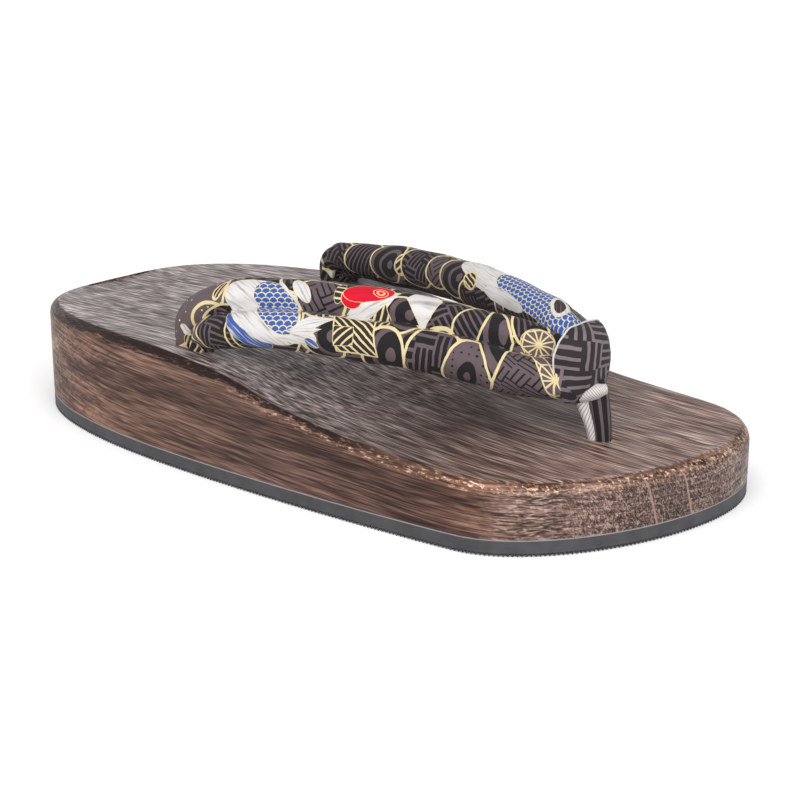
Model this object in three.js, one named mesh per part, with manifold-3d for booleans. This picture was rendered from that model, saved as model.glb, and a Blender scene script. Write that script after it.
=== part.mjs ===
// A geta sandal for the right foot: a wedge of paulownia on a rubber outsole, with two padded
// cloth straps, each a pair of rolls, that meet in a cloth toe loop.
// Millimetres. +X runs to the toe, +Y to the big-toe side, +Z up. The origin is on the floor,
// under the middle of the sole.

import * as THREE from "three";
import Module from "manifold-3d";

const wasm = await Module();
wasm.setup();

// Driving dimensions
const soleLength = 250;
const outsoleThickness = 5.2;
const topEdgeRadius = 4;
const topDish = 0.8;
const seatGap = 0.3;

// How finely the curved forms are faceted
const outlineSteps = 56;
const edgeSteps = 4;
const topColumns = 8;
const rollSides = 12;
const rollSteps = 40;
const wrapSides = 24;
const legSides = 10;
const legSteps = 10;

// Half widths of the sole, at shares of its length from heel to toe
const widthRows = [
  { share: 0.2, half: 57 },
  { share: 0.5, half: 60 },
  { share: 0.8, half: 57.5 },
];

// Rounding of the two ends: the share of the length it takes, how square it is, and how far
// the end slants towards the big toe
const heelEnd = { share: 0.5, power: 3.6, slant: 0.04 };
const toeEnd = { share: 0.14, power: 2.1, slant: 0.21 };

// Height of the board's top above the floor, from the heel to the toe
const topRows = [
  { x: -127, height: 37 },
  { x: -85, height: 38.4 },
  { x: -40, height: 38.6 },
  { x: -12, height: 35.6 },
  { x: 8, height: 30.8 },
  { x: 35, height: 26.2 },
  { x: 65, height: 23.2 },
  { x: 95, height: 21.8 },
  { x: 127, height: 20.6 },
];

// The straps follow the crease between their two rolls, from the rear hole to the toe loop.
// spread is the distance between the rolls' middles, lean how far the upper roll tips inwards.
const outerStrap = {
  inward: 1,
  rows: [
    { x: -33, y: -46.5, z: 14, radius: 3.2, spread: 4, lean: 5 },
    { x: -33, y: -46.5, z: 30, radius: 3.4, spread: 4.4, lean: 5 },
    { x: -33.5, y: -46.5, z: 39.5, radius: 4.2, spread: 6, lean: 5 },
    { x: -30.5, y: -46, z: 45.6, radius: 5.4, spread: 8, lean: 10 },
    { x: -21, y: -44, z: 50, radius: 6.2, spread: 9.2, lean: 28 },
    { x: -2, y: -39, z: 52.6, radius: 6.7, spread: 10.4, lean: 35 },
    { x: 25, y: -29, z: 52, radius: 7, spread: 10.8, lean: 35 },
    { x: 50, y: -18.5, z: 49.2, radius: 7, spread: 10.8, lean: 32 },
    { x: 70, y: -9, z: 45, radius: 6.8, spread: 10.4, lean: 28 },
    { x: 79, y: -4, z: 42.8, radius: 6.2, spread: 9, lean: 22 },
    { x: 86, y: 0.6, z: 43, radius: 4.2, spread: 6, lean: 15 },
  ],
};
const innerStrap = {
  inward: -1,
  rows: [
    { x: -54, y: 46.5, z: 14, radius: 3.2, spread: 4, lean: 15 },
    { x: -54, y: 46.5, z: 30, radius: 3.4, spread: 4.4, lean: 15 },
    { x: -54.5, y: 46.5, z: 39, radius: 4, spread: 5, lean: 25 },
    { x: -51.8, y: 46.5, z: 45, radius: 4.7, spread: 6, lean: 50 },
    { x: -42, y: 46, z: 47.2, radius: 5.4, spread: 7.6, lean: 62 },
    { x: -18, y: 43.5, z: 48.8, radius: 6.3, spread: 9.6, lean: 62 },
    { x: 10, y: 37.5, z: 49.8, radius: 6.8, spread: 10.6, lean: 55 },
    { x: 42, y: 26.5, z: 49.8, radius: 7, spread: 10.8, lean: 46 },
    { x: 66, y: 16, z: 48.6, radius: 6.8, spread: 10.4, lean: 36 },
    { x: 77, y: 9.5, z: 47.2, radius: 6.2, spread: 9, lean: 28 },
    { x: 86, y: 3.6, z: 45.4, radius: 4.2, spread: 6, lean: 15 },
  ],
};

// Sections of the cloth wrapped round the straps' meeting, from its open back to its nose
const wrapPower = 2.7;
const wrapRows = [
  { x: 81.5, y: 2.5, z: 44.8, halfWidth: 14, halfHeight: 13.2 },
  { x: 85, y: 2.3, z: 45, halfWidth: 11, halfHeight: 11.8 },
  { x: 88.2, y: 2, z: 45.6, halfWidth: 8, halfHeight: 9.4 },
  { x: 90.2, y: 1.8, z: 46, halfWidth: 5, halfHeight: 6.4 },
  { x: 91.2, y: 1.8, z: 46, halfWidth: 2, halfHeight: 2.8 },
];

// The two legs of the toe loop, from the wrap down into the front hole, and the fold that
// gathers them under the wrap
const backLeg = [
  { x: 85.4, y: 0, z: 38, radius: 2.6 },
  { x: 86.4, y: 0, z: 32, radius: 2.4 },
  { x: 89.2, y: 0.8, z: 23, radius: 1.9 },
  { x: 89.8, y: 1, z: 13.5, radius: 1.7 },
];
const frontLeg = [
  { x: 88.2, y: 2.6, z: 39.5, radius: 3.4 },
  { x: 89.6, y: 2.6, z: 33, radius: 3.3 },
  { x: 91.6, y: 2.3, z: 24, radius: 2.8 },
  { x: 92, y: 2.2, z: 13.5, radius: 2.6 },
];
const legFold = [
  { x: 83.4, y: -2.2, z: 33.4, radius: 1.8 },
  { x: 86.8, y: -1.6, z: 35.2, radius: 2.6 },
  { x: 90.2, y: 0.4, z: 36.6, radius: 2.6 },
  { x: 92, y: 3, z: 37, radius: 1.8 },
];

// Value of a table's column at x, between its rows
function alongTable(rows, key, x) {
  const last = rows.length - 1;
  if (x <= rows[0].x) {
    return rows[0][key];
  }
  if (x >= rows[last].x) {
    return rows[last][key];
  }
  const i = rows.findIndex((row, n) => n < last && x < rows[n + 1].x);
  const slope = (n) => {
    const a = rows[Math.max(n - 1, 0)];
    const b = rows[Math.min(n + 1, last)];
    return (b[key] - a[key]) / (b.x - a.x);
  };
  const run = rows[i + 1].x - rows[i].x;
  const t = (x - rows[i].x) / run;
  const start = (1 + 2 * t) * (1 - t) ** 2 * rows[i][key] + t * (1 - t) ** 2 * run * slope(i);
  const end = t * t * (3 - 2 * t) * rows[i + 1][key] + t * t * (t - 1) * run * slope(i + 1);
  return start + end;
}

// Rounding factor of one end of the sole, 0 at its tip and 1 past the rounded stretch
function endRounding(fromTip, end) {
  if (fromTip >= end.share) {
    return 1;
  }
  const bow = 1 - Math.pow(1 - fromTip / end.share, end.power);
  return Math.pow(Math.max(bow, 0), 1 / end.power);
}

// Half width of the sole: a parabola through the three widths, rounded at both ends
function halfWidth(share) {
  let half = 0;
  for (const row of widthRows) {
    let weight = row.half;
    for (const other of widthRows) {
      if (other !== row) {
        weight *= (share - other.share) / (row.share - other.share);
      }
    }
    half += weight;
  }
  return half * endRounding(share, heelEnd) * endRounding(1 - share, toeEnd);
}

// The sole's outline: the outer side from heel to toe, then the big-toe side back again
function soleOutline() {
  const points = [];
  const place = (step, side) => {
    const share = 0.5 - 0.5 * Math.cos((Math.PI * step) / outlineSteps);
    const y = side * halfWidth(share);
    const slant = heelEnd.slant * (1 - share) ** 2 + toeEnd.slant * share ** 2;
    points.push(new THREE.Vector2((share - 0.5) * soleLength + y * slant, y));
  };
  for (let step = 0; step <= outlineSteps; step += 1) {
    place(step, -1);
  }
  for (let step = outlineSteps - 1; step >= 1; step -= 1) {
    place(step, 1);
  }
  const middle = new THREE.Box2().setFromPoints(points).getCenter(new THREE.Vector2());
  return points.map((point) => point.sub(middle));
}

// The outline moved inwards by a distance
function insetOutline(outline, distance) {
  const count = outline.length;
  return outline.map((point, i) => {
    const before = outline[(i + count - 1) % count];
    const after = outline[(i + 1) % count];
    const along = after.clone().sub(before).normalize();
    return new THREE.Vector2(point.x - along.y * distance, point.y + along.x * distance);
  });
}

// A closed solid from triangles that share their corners
function solidFrom(corners, faces) {
  const vertProperties = new Float32Array(corners.flatMap((c) => [c.x, c.y, c.z]));
  const triVerts = new Uint32Array(faces.flat());
  return new wasm.Manifold(new wasm.Mesh({ numProp: 3, vertProperties, triVerts }));
}

// Faces of the band between two rings of corners
function bandFaces(lower, upper) {
  const count = lower.length;
  return lower.flatMap((corner, i) => {
    const next = (i + 1) % count;
    return [
      [corner, lower[next], upper[next]],
      [corner, upper[next], upper[i]],
    ];
  });
}

// A slab over the sole's outline: rings from its underside up, closed below by strips across
// the sole and above by strips with inner columns, each dipped by the dish
function soleSlab(rings, columns, dish) {
  const corners = [];
  const faces = [];
  const addCorner = (x, y, z) => corners.push(new THREE.Vector3(x, y, z)) - 1;
  const ringIndex = rings.map((ring) => ring.map((p) => addCorner(p.x, p.y, p.z)));
  for (let i = 0; i + 1 < ringIndex.length; i += 1) {
    faces.push(...bandFaces(ringIndex[i], ringIndex[i + 1]));
  }
  const rowAcross = (ring, index, step, count, dip) => {
    if (step === 0 || step === outlineSteps) {
      return [index[step]];
    }
    const far = 2 * outlineSteps - step;
    const row = [index[step]];
    for (let column = 1; column < count; column += 1) {
      const p = ring[step].clone().lerp(ring[far], column / count);
      const across = (2 * column) / count - 1;
      row.push(addCorner(p.x, p.y, p.z - dip * (1 - across * across)));
    }
    row.push(index[far]);
    return row;
  };
  const closeAcross = (ring, index, count, dip, up) => {
    let back = rowAcross(ring, index, 0, count, dip);
    for (let step = 1; step <= outlineSteps; step += 1) {
      const front = rowAcross(ring, index, step, count, dip);
      for (let column = 0; column < count; column += 1) {
        const a = back[Math.min(column, back.length - 1)];
        const b = front[Math.min(column, front.length - 1)];
        const c = front[Math.min(column + 1, front.length - 1)];
        const d = back[Math.min(column + 1, back.length - 1)];
        for (const face of [[a, b, c], [a, c, d]]) {
          if (new Set(face).size === 3) {
            faces.push(up ? face : [face[0], face[2], face[1]]);
          }
        }
      }
      back = front;
    }
  };
  closeAcross(rings[0], ringIndex[0], 1, 0, false);
  closeAcross(rings.at(-1), ringIndex.at(-1), columns, dish, true);
  return solidFrom(corners, faces);
}

// A ring over the outline at a height that may change along the sole
function outlineRing(outline, height) {
  return outline.map((p) => new THREE.Vector3(p.x, p.y, height(p.x)));
}

// Closed sweep of rings, each given by its middle and two half axes; a power over 2 squares them
function ringSweep(sections, sides, power = 2) {
  const squared = (value) => Math.sign(value) * Math.pow(Math.abs(value), 2 / power);
  const corners = [];
  const faces = [];
  const rings = sections.map((section) => {
    const ring = [];
    for (let i = 0; i < sides; i += 1) {
      const turn = (2 * Math.PI * i) / sides;
      const corner = section.middle.clone();
      corner.addScaledVector(section.first, squared(Math.cos(turn)));
      corner.addScaledVector(section.second, squared(Math.sin(turn)));
      ring.push(corners.push(corner) - 1);
    }
    return ring;
  });
  for (let i = 0; i + 1 < rings.length; i += 1) {
    faces.push(...bandFaces(rings[i], rings[i + 1]));
  }
  const addCap = (ring, middle, forward) => {
    const hub = corners.push(middle.clone()) - 1;
    ring.forEach((corner, i) => {
      const next = ring[(i + 1) % ring.length];
      faces.push(forward ? [hub, corner, next] : [hub, next, corner]);
    });
  };
  addCap(rings[0], sections[0].middle, false);
  addCap(rings.at(-1), sections.at(-1).middle, true);
  return solidFrom(corners, faces);
}

// Smooth curve through three columns of a table, read by row number
function tableCurve(rows, keys) {
  const points = rows.map((row) => new THREE.Vector3(row[keys[0]], row[keys[1]], row[keys[2]]));
  return new THREE.CatmullRomCurve3(points, false, "catmullrom", 0.5);
}

// How far a grown sweep runs past its first and last sections
function endGrowth(step, steps, grow) {
  if (step === 0) {
    return -grow;
  }
  return step === steps ? grow : 0;
}

// One roll of a strap: upper is 1 for the roll on top and -1 for the one below it
function strapRoll(strap, upper, grow) {
  const path = tableCurve(strap.rows, ["x", "y", "z"]);
  const form = tableCurve(strap.rows, ["radius", "spread", "lean"]);
  const sections = [];
  for (let step = 0; step <= rollSteps; step += 1) {
    const t = step / rollSteps;
    const [radius, spread, lean] = form.getPoint(t).toArray();
    const tangent = path.getTangent(t);
    const tip = THREE.MathUtils.degToRad(lean);
    const outOfRoll = new THREE.Vector3(-1, strap.inward * Math.sin(tip), Math.cos(tip));
    outOfRoll.addScaledVector(tangent, -outOfRoll.dot(tangent)).normalize();
    const across = tangent.clone().cross(outOfRoll);
    const middle = path.getPoint(t).addScaledVector(outOfRoll, (upper * spread) / 2);
    middle.addScaledVector(tangent, endGrowth(step, rollSteps, grow));
    sections.push({
      middle,
      first: outOfRoll.multiplyScalar(radius + grow),
      second: across.multiplyScalar(radius + grow),
    });
  }
  return ringSweep(sections, rollSides);
}

// Both straps, joined where their rolls touch and where they meet at the toe
function strapSolid(grow) {
  let solid = null;
  for (const strap of [outerStrap, innerStrap]) {
    for (const upper of [1, -1]) {
      const roll = strapRoll(strap, upper, grow);
      solid = solid ? solid.add(roll) : roll;
    }
  }
  return solid;
}

// A round leg of the toe loop along its rows
function legSolid(rows, grow) {
  const path = tableCurve(rows, ["x", "y", "z"]);
  const girth = tableCurve(rows, ["radius", "radius", "radius"]);
  const sections = [];
  for (let step = 0; step <= legSteps; step += 1) {
    const t = step / legSteps;
    const radius = girth.getPoint(t).x + grow;
    const tangent = path.getTangent(t);
    const first = new THREE.Vector3(-tangent.z, 0, tangent.x).normalize();
    const second = tangent.clone().cross(first);
    sections.push({
      middle: path.getPoint(t).addScaledVector(tangent, endGrowth(step, legSteps, grow)),
      first: first.multiplyScalar(radius),
      second: second.multiplyScalar(radius),
    });
  }
  return ringSweep(sections, legSides);
}

// The cloth wrapped round the straps' meeting
function wrapSolid() {
  const sections = wrapRows.map((row) => ({
    middle: new THREE.Vector3(row.x, row.y, row.z),
    first: new THREE.Vector3(0, row.halfWidth, 0),
    second: new THREE.Vector3(0, 0, row.halfHeight),
  }));
  return ringSweep(sections, wrapSides, wrapPower);
}

// A named mesh from a solid
function piece(name, solid, finish) {
  const { vertProperties, triVerts } = solid.getMesh();
  const geometry = new THREE.BufferGeometry();
  geometry.setAttribute("position", new THREE.BufferAttribute(vertProperties, 3));
  geometry.setIndex(new THREE.BufferAttribute(triVerts, 1));
  geometry.computeVertexNormals();
  const mesh = new THREE.Mesh(geometry, new THREE.MeshStandardMaterial(finish));
  mesh.name = name;
  return mesh;
}

// The rubber outsole, a flat sheet with the sole's outline
const outline = soleOutline();
const outsole = soleSlab(
  [outlineRing(outline, () => 0), outlineRing(outline, () => outsoleThickness)],
  1,
  0,
);

// The board: straight walls from the outsole up, then the rounded edge and the dished top
const boardTop = (x) => alongTable(topRows, "height", x);
const boardRings = [outlineRing(outline, () => outsoleThickness)];
for (let step = 0; step <= edgeSteps; step += 1) {
  const turn = (0.5 * Math.PI * step) / edgeSteps;
  const inset = topEdgeRadius * (1 - Math.cos(turn));
  const drop = topEdgeRadius * (1 - Math.sin(turn));
  boardRings.push(outlineRing(insetOutline(outline, inset), (x) => boardTop(x) - drop));
}
const board = soleSlab(boardRings, topColumns, topDish);

// The straps and the toe loop, with their holes in the board
const straps = strapSolid(0);
const legs = [backLeg, frontLeg];
const legFit = legs.map((leg) => legSolid(leg, seatGap)).reduce((all, leg) => all.add(leg));
const strapFit = strapSolid(seatGap);
const drilledBoard = board.subtract(strapFit).subtract(legFit);
const loopLegs = [...legs, legFold].map((leg) => legSolid(leg, 0));
const toeLoop = loopLegs.reduce((all, leg) => all.add(leg), wrapSolid()).subtract(strapFit);

const sandal = new THREE.Group();
sandal.add(
  piece("rubber_outsole", outsole, { color: "#4b4b4e", roughness: 0.75, metalness: 0 }),
  piece("wood_base", drilledBoard, { color: "#6b4f3e", roughness: 0.45, metalness: 0 }),
  piece("hanao_straps", straps, { color: "#5c5155", roughness: 0.85, metalness: 0 }),
  piece("toe_loop", toeLoop, { color: "#4d484b", roughness: 0.85, metalness: 0 }),
);

export default sandal;
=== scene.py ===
import math

import bpy
import numpy as np
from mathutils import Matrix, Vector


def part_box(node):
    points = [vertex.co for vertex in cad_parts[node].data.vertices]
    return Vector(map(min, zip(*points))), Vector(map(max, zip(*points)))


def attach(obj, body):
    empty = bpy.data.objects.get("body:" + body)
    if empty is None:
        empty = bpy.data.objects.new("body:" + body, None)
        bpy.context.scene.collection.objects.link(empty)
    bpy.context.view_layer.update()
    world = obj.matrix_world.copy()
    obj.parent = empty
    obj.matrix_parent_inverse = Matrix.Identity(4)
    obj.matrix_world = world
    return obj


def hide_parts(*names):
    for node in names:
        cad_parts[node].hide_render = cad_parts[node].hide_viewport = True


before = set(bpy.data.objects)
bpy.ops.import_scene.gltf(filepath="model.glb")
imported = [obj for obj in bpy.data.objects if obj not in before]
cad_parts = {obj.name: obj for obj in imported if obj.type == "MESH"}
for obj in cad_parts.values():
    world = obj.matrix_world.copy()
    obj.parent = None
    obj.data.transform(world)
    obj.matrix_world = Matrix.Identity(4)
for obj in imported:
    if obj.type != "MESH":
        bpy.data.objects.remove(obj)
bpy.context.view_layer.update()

# Camera
# It stands off the toe on the sandal's outer side, a little above it, and looks down along the
# board, from the same place as in the photograph, turned and zoomed to frame the sandal.
mm = 0.001
view_azimuth = math.radians(39.93)
view_elevation = math.radians(17.95)
camera_place = np.array([392.6, -452.7, 209.1]) * mm
bpy.ops.object.camera_add(
    location=camera_place,
    rotation=(math.pi / 2 - view_elevation, 0, view_azimuth),
)
camera = bpy.context.object
camera.data.sensor_width = 36
camera.data.lens = 85
camera.data.clip_end = 100
bpy.context.scene.camera = camera


# Rubber outsole
# A 5 mm sheet of ripple rubber, cut to the board's outline and glued under it. Its fine ribs
# run out at the lower edge as small teeth.
tooth_pitch = 1.35 * mm
tooth_height = 1.1 * mm
tooth_inset = 1.0 * mm
gap_height = 0.8 * tooth_height
smoothing_run = 9
seam_highlight_height = 0.35 * mm
mottle_size = 6 * mm
knife_size = (12 * mm, 12 * mm, 0.5 * mm)
# A wave texture of scale 1 turns through 20 radians in a metre.
rib_scale = 2 * math.pi / (tooth_pitch * 20)


def linear(hex_colour):
    """An sRGB hex colour as linear RGBA."""
    channels = [int(hex_colour[i:i + 2], 16) / 255 for i in (1, 3, 5)]
    return [c / 12.92 if c <= 0.04045 else ((c + 0.055) / 1.055) ** 2.4 for c in channels] + [1]


def set_inputs(node, inputs):
    """Sets a node's inputs, or links them to other nodes' outputs."""
    for key, value in inputs.items():
        if isinstance(value, bpy.types.NodeSocket):
            node.id_data.links.new(value, node.inputs[key])
        else:
            node.inputs[key].default_value = value


def add_node(tree, kind, inputs=None, **settings):
    """Adds a node with its settings and inputs. Inputs that share a name go by number."""
    made = tree.nodes.new("ShaderNode" + kind)
    for name, value in settings.items():
        setattr(made, name, value)
    set_inputs(made, inputs or {})
    return made


def start_material(name):
    """A new material with its node tree, and its shader, ready for links."""
    made = bpy.data.materials.new(name)
    made.use_nodes = True
    tree = made.node_tree
    return made, tree, tree.nodes["Principled BSDF"]


def mesh_places(piece):
    """Corners of a mesh as an array."""
    places = np.empty(len(piece.data.vertices) * 3)
    piece.data.vertices.foreach_get("co", places)
    return places.reshape(-1, 3)


def set_mesh_places(piece, places):
    """Moves the corners of a mesh."""
    piece.data.vertices.foreach_set("co", np.asarray(places, dtype=float).ravel())
    piece.data.update()


def finish_piece(piece, name, node, material):
    """Names a piece, gives it its material and puts it in the place of its CAD node."""
    piece.name = name
    piece.data.name = name
    piece.data.materials.clear()
    piece.data.materials.append(material)
    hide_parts(node)
    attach(piece, "root")


def round_order(points):
    """The order of points round the middle of the sole."""
    return np.argsort(np.arctan2(points[:, 1], points[:, 0]))


outsole_low, outsole_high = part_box("rubber_outsole")
cad_corners = mesh_places(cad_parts["rubber_outsole"])
on_floor = cad_corners[np.isclose(cad_corners[:, 2], outsole_low[2], atol=0.01 * mm), :2]
on_floor = np.unique(np.round(on_floor, 7), axis=0)
outline = on_floor[round_order(on_floor)]
closed_outline = np.vstack([outline, outline[:1]])
run = np.append(0, np.cumsum(np.linalg.norm(np.diff(closed_outline, axis=0), axis=1)))
tooth_corners = 2 * round(run[-1] / tooth_pitch)
stations = np.arange(tooth_corners) / tooth_corners * run[-1]
rim = np.column_stack([np.interp(stations, run, closed_outline[:, i]) for i in (0, 1)])
steps = range(-(smoothing_run // 2), smoothing_run // 2 + 1)
rim = np.mean([np.roll(rim, step, axis=0) for step in steps], axis=0)
along_rim = np.roll(rim, -1, axis=0) - np.roll(rim, 1, axis=0)
along_rim /= np.linalg.norm(along_rim, axis=1)[:, None]
inward = np.column_stack([-along_rim[:, 1], along_rim[:, 0]])
rim_order = round_order(rim)

bpy.ops.object.select_all(action="DESELECT")
bpy.ops.mesh.primitive_circle_add(vertices=tooth_corners, radius=0.1, fill_type="NGON")
outsole = bpy.context.object
circle = mesh_places(outsole)
places = np.empty_like(circle)
places[round_order(circle), :2] = rim[rim_order]
places[:, 2] = outsole_low[2]
set_mesh_places(outsole, places)
bpy.ops.object.mode_set(mode="EDIT")
bpy.ops.mesh.select_all(action="SELECT")
bpy.ops.mesh.extrude_region_move(TRANSFORM_OT_translate={"value": (0, 0, tooth_height)})
wall_height = outsole_high[2] - outsole_low[2] - tooth_height
bpy.ops.mesh.extrude_region_move(TRANSFORM_OT_translate={"value": (0, 0, wall_height)})
bpy.ops.mesh.select_all(action="SELECT")
bpy.ops.mesh.normals_make_consistent(inside=False)
bpy.ops.object.mode_set(mode="OBJECT")
places = mesh_places(outsole)
lowest = np.where(np.isclose(places[:, 2], outsole_low[2], atol=0.01 * mm))[0]
around = lowest[round_order(places[lowest])]
gaps = np.arange(tooth_corners) % 2 == 1
places[around[gaps], :2] += inward[rim_order][gaps] * tooth_inset
places[around[gaps], 2] += gap_height
set_mesh_places(outsole, places)
bpy.ops.object.shade_smooth_by_angle(angle=math.radians(30))

# Moulded foam rubber: dark grey and dull, faintly mottled, with the ripple of its ribs below
# and fine lengthwise marks of the cutting knife on its sides. A thin pale band along its top edge is a
# painted highlight.
rubber, tree, shader = start_material("moulded_foam_rubber")
place = add_node(tree, "TexCoord")
mottle = add_node(tree, "TexNoise", {"Vector": place.outputs["Object"], "Scale": 1 / mottle_size,
                                     "Detail": 4})
tint = add_node(tree, "ValToRGB", {"Fac": mottle.outputs["Fac"]})
for stop, (position, colour) in zip(tint.color_ramp.elements, ((0.3, "#323234"), (0.72, "#3f3f42"))):
    stop.position = position
    stop.color = linear(colour)
knife_place = add_node(tree, "Mapping", {"Vector": place.outputs["Object"],
                                         "Scale": [1 / size for size in knife_size]})
knife = add_node(tree, "TexNoise", {"Vector": knife_place.outputs[0], "Scale": 1, "Detail": 3})
ribs = add_node(tree, "TexWave", {"Vector": place.outputs["Object"], "Scale": rib_scale},
                bands_direction="X")
way = add_node(tree, "NewGeometry")
facing = add_node(tree, "SeparateXYZ", {0: way.outputs["Normal"]})
below = add_node(tree, "Math", {0: facing.outputs["Z"], 1: -0.7}, operation="LESS_THAN")
relief = add_node(tree, "Mix", {0: below.outputs[0], 2: knife.outputs["Fac"], 3: ribs.outputs["Fac"]})
bump = add_node(tree, "Bump", {"Height": relief.outputs[0], "Strength": 0.35, "Distance": 0.3 * mm})
# Painted highlight: a thin pale band along the top of the wall, under the board.
up_wall = add_node(tree, "SeparateXYZ", {0: place.outputs["Object"]})
seam_highlight = add_node(tree, "Math", {0: up_wall.outputs["Z"], 1: outsole_high[2] - seam_highlight_height},
                   operation="GREATER_THAN")
highlighted_rubber = add_node(tree, "Mix", {0: seam_highlight.outputs[0], 6: tint.outputs[0], 7: linear("#7f7b7a")},
                 data_type="RGBA")
set_inputs(shader, {"Base Color": highlighted_rubber.outputs[2], "Normal": bump.outputs[0], "Roughness": 0.6,
                    "IOR": 1.5, "Specular IOR Level": 0.35})
finish_piece(outsole, "outsole", "rubber_outsole", rubber)


# Wooden board
# One wedge of paulownia, sawn to the sole's outline, its top edge rounded, with three holes for
# the straps. Its face is burnt, brushed along the grain and rubbed with a thin lacquer.
wood_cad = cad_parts["wood_base"]
board = bpy.data.objects.new("board", wood_cad.data.copy())
bpy.context.scene.collection.objects.link(board)
bpy.ops.object.select_all(action="DESELECT")
board.select_set(True)
bpy.context.view_layer.objects.active = board
bpy.ops.object.mode_set(mode="EDIT")
bpy.ops.mesh.select_all(action="SELECT")
bpy.ops.mesh.remove_doubles(threshold=0.002 * mm)
bpy.ops.mesh.customdata_custom_splitnormals_clear()
bpy.ops.object.mode_set(mode="OBJECT")
bpy.ops.object.shade_smooth_by_angle(angle=math.radians(35))
flat_walls = board.modifiers.new("flat_walls", "WEIGHTED_NORMAL")
flat_walls.keep_sharp = True
flat_walls.weight = 90
bpy.ops.object.modifier_apply(modifier=flat_walls.name)

# Burnt and brushed paulownia: fibres, grain lines and pores run from heel to toe, so they show as
# fine streaks on the top and sides and as wrinkles on the ends. The burning leaves them near black,
# the brush lays the brown between them bare, and a thin lacquer gives a satin gloss.
# The top is brushed hardest. Its raised fibres are painted grey and pale for the sheen of the white
# surround on it, fading to brown towards the toe, and painted light and shade make it paler at heel and
# toe and darker below the front of the straps. The walls are palest by the heel and at the toe's corner,
# where the paleness is painted light, and greyer between.
# Sizes are in millimetres along the board, across it and upright. Real fibres and pores are a few
# tenths of a millimetre wide at most, so they are drawn coarser here.
fibre_size = (13, 10, 0.5)
raised_size = (15, 0.7, 0.7)
streak_size = (60, 20, 1.2)
band_size = (90, 12, 9)
pore_size = (20, 1.3, 1.3)
ripple_size = (40, 3.6, 0.85)
crinkle_size = (40, 0.8, 1.2)
layer_size = (110, 2.2, 14)
layer_step = 0.085
glint_size = (3, 1.1, 0.9)
lick_size = (11, 1.4, 1)
wander_size = 80
wander_reach = (0, 5, 5)
ring_lines = (-14, -0.5)
ring_lean = 0.28
ring_line_width = 0.35
toe_middle = 14
grain_fall = 0.05
heel_share = 0.78
top_lines = 0.3
# From the heel at 0 to the toe at 1: the painted light and shade of the top, and the tint of the walls
# with painted light at the toe's corner.
top_light_levels = ((0, 1.05), (0.4, 0.95), (0.54, 0.85), (0.64, 0.56), (0.72, 0.42), (0.84, 0.82), (0.94, 1))
top_light_stops = [(spot, (level, level, level)) for spot, level in top_light_levels]
wall_tint_and_light_stops = (
    (0, (1.32, 1.3, 1.25)), (0.12, (1.42, 1.36, 1.27)), (0.3, (1, 1.05, 1.1)), (0.5, (0.82, 0.92, 1.05)),
    (0.72, (0.83, 0.9, 1.02)), (0.87, (1.2, 1.25, 1.35)), (0.98, (0.86, 0.9, 1)),
)
paulownia, tree, shader = start_material("burnt_brushed_paulownia")
way = add_node(tree, "NewGeometry")
facing = add_node(tree, "SeparateXYZ", {0: way.outputs["Normal"]})
to_heel = add_node(tree, "Math", {0: facing.outputs["X"], 1: -heel_share}, operation="MULTIPLY")
endways = add_node(tree, "Math", {0: facing.outputs["X"], 1: to_heel.outputs[0]},
                   operation="MAXIMUM").outputs[0]
upwards = facing.outputs["Z"]

# By which way the wood faces: its top, the inner side of the burnt line, both sides of the band of
# painted glints on the edge, the ends of the board and the middle of each end.
turns = []
for way_faced, start, end, most in (
    (upwards, 0.93, 0.985, 1),
    (upwards, 0.94, 0.975, 1),
    (upwards, 0.15, 0.5, 1),
    (upwards, 0.85, 0.98, 1),
    (endways, 0.3, 0.75, 0.85),
    (endways, 0.72, 0.9, 1),
):
    turned = add_node(tree, "MapRange", {"Value": way_faced, "From Min": start, "From Max": end,
                                         "To Max": most}, interpolation_type="SMOOTHSTEP")
    turns.append(turned.outputs[0])
on_top, line_out, glint_band_in, glint_band_out, on_end, to_middle = turns
place = add_node(tree, "TexCoord")
in_mm = add_node(tree, "VectorMath", {0: place.outputs["Object"], "Scale": 1 / mm}, operation="SCALE")
in_mm_parts = add_node(tree, "SeparateXYZ", {0: in_mm.outputs[0]})

# By the place along the board: its whole length, the strength of the walls' grain lines, the share of
# painted grey sheen on the top, the reach of the burnt line, widest from the heel up to the straps' rear
# ends where it is partly painted shade, that line's end and the start of the painted glints.
runs = []
for start, end, first, last in (
    (-125, 125, 0, 1),
    (-110, -35, 0.9, 0.35),
    (5, 70, 1, 0.3),
    (-30, 0, 1.5, 0.85),
    (35, 80, 1, 0),
    (-45, 85, 0, 1),
):
    length_run = add_node(tree, "MapRange", {"Value": in_mm_parts.outputs["X"], "From Min": start,
                                             "From Max": end, "To Min": first, "To Max": last})
    runs.append(length_run.outputs[0])
length_share, wall_lines, sheen_share, burn_and_shade_reach, to_ball, glint_run = runs

# The grain: noise stretched along the board, leaning with the growth rings and wandering a little.
leaning = add_node(tree, "Math", {0: in_mm_parts.outputs["Z"], 1: ring_lean, 2: in_mm_parts.outputs["Y"]},
                   operation="MULTIPLY_ADD")
falling = add_node(tree, "Math", {0: in_mm_parts.outputs["X"], 1: grain_fall, 2: in_mm_parts.outputs["Z"]},
                   operation="MULTIPLY_ADD")
layered = add_node(tree, "CombineXYZ", {0: in_mm_parts.outputs["X"], 1: leaning.outputs[0],
                                        2: falling.outputs[0]})
wander = add_node(tree, "TexNoise", {"Vector": in_mm.outputs[0], "Scale": 1 / wander_size, "Detail": 2})
drift = add_node(tree, "VectorMath", {0: wander.outputs["Color"], 1: wander_reach}, operation="MULTIPLY")
grain_place = add_node(tree, "VectorMath", {0: layered.outputs[0], 1: drift.outputs[0]},
                       operation="ADD").outputs[0]
grains = []
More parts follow.
